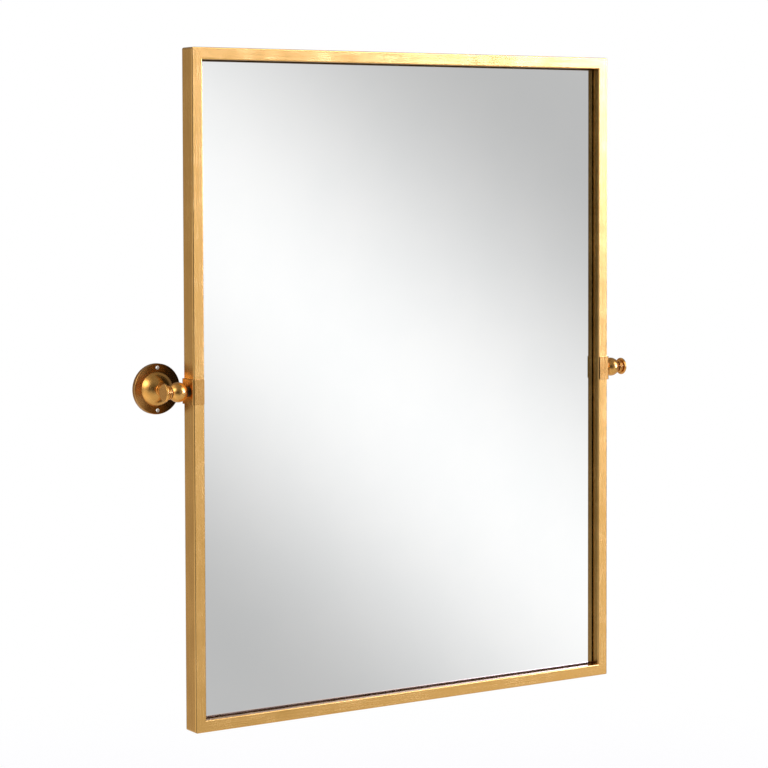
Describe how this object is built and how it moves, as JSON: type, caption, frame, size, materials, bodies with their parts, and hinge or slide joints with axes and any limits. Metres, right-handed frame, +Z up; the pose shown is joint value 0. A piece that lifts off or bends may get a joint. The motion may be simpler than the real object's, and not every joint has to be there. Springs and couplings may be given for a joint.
{
  "type": "pivot wall mirror",
  "caption": "Rectangular mirror in a slim satin brass tube frame that tilts between two turned wall brackets with round wall plates, ball hubs and knobs.",
  "frame": {"origin": "on the wall plane, midway between the two wall plates, at the height of the pivot axis", "axes": "+X to the right seen from the front, +Y into the wall, +Z up; the mirror faces -Y"},
  "size_m": [0.728, 0.0747, 0.838],
  "materials": {
    "frame_brass": "satin",
    "clip_brass": "satin",
    "bracket_brass": "satin",
    "knob_brass": "satin",
    "mirror_silver": "polished",
    "zinc_steel": "satin",
    "dark_nylon": "matte",
    "foam": "matte",
    "fibreboard": "matte",
    "seal_rubber": "matte"
  },
  "bodies": {
    "wall_brackets": {"left_wall_plate": "bracket_brass", "left_post": "bracket_brass", "left_post_screw": "zinc_steel", "left_lock_washer": "zinc_steel", "left_pivot_bush": "dark_nylon", "right_wall_plate": "bracket_brass", "right_post": "bracket_brass", "right_post_screw": "zinc_steel", "right_lock_washer": "zinc_steel", "right_pivot_bush": "dark_nylon"},
    "mirror": {"frame_top_rail": "frame_brass", "frame_right_stile": "frame_brass", "frame_bottom_rail": "frame_brass", "frame_left_stile": "frame_brass", "mirror_glass": "mirror_silver", "foam_tape": "foam", "backing_board": "fibreboard", "edge_seal": "seal_rubber", "board_brackets": "zinc_steel", "bracket_frame_screws": "zinc_steel", "bracket_board_screws": "zinc_steel", "left_pivot_stud": "zinc_steel", "left_stile_block": "zinc_steel", "left_clip": "clip_brass", "left_clip_screws": "clip_brass", "right_pivot_stud": "zinc_steel", "right_stile_block": "zinc_steel", "right_clip": "clip_brass", "right_clip_screws": "clip_brass"},
    "left_washer": {"left_tension_washer": "dark_nylon"},
    "left_knob": {"left_finial": "knob_brass"},
    "right_washer": {"right_tension_washer": "dark_nylon"},
    "right_knob": {"right_finial": "knob_brass"}
  },
  "joints": [
    {"name": "mirror_tilt", "type": "hinge", "parent": "wall_brackets", "child": "mirror", "pos_m": [0, -0.06, 0], "axis": [1, 0, 0], "range_deg": [-6.4, 6.4]},
    {"name": "left_washer_slide", "type": "slide", "parent": "mirror", "child": "left_washer", "axis": [-1, 0, 0], "range_m": [0, 0.001]},
    {"name": "left_knob_turn", "type": "hinge", "parent": "left_washer", "child": "left_knob", "pos_m": [-0.34404, -0.06, 0], "axis": [-1, 0, 0], "range_deg": [0, 360]},
    {"name": "right_washer_slide", "type": "slide", "parent": "mirror", "child": "right_washer", "axis": [1, 0, 0], "range_m": [0, 0.001]},
    {"name": "right_knob_turn", "type": "hinge", "parent": "right_washer", "child": "right_knob", "pos_m": [0.34404, -0.06, 0], "axis": [1, 0, 0], "range_deg": [0, 360]}
  ],
  "couplings": [
    {"joint": "left_knob_turn", "follows": "left_washer_slide", "rad_per_m": 6283.2},
    {"joint": "right_knob_turn", "follows": "right_washer_slide", "rad_per_m": 6283.2}
  ]
}
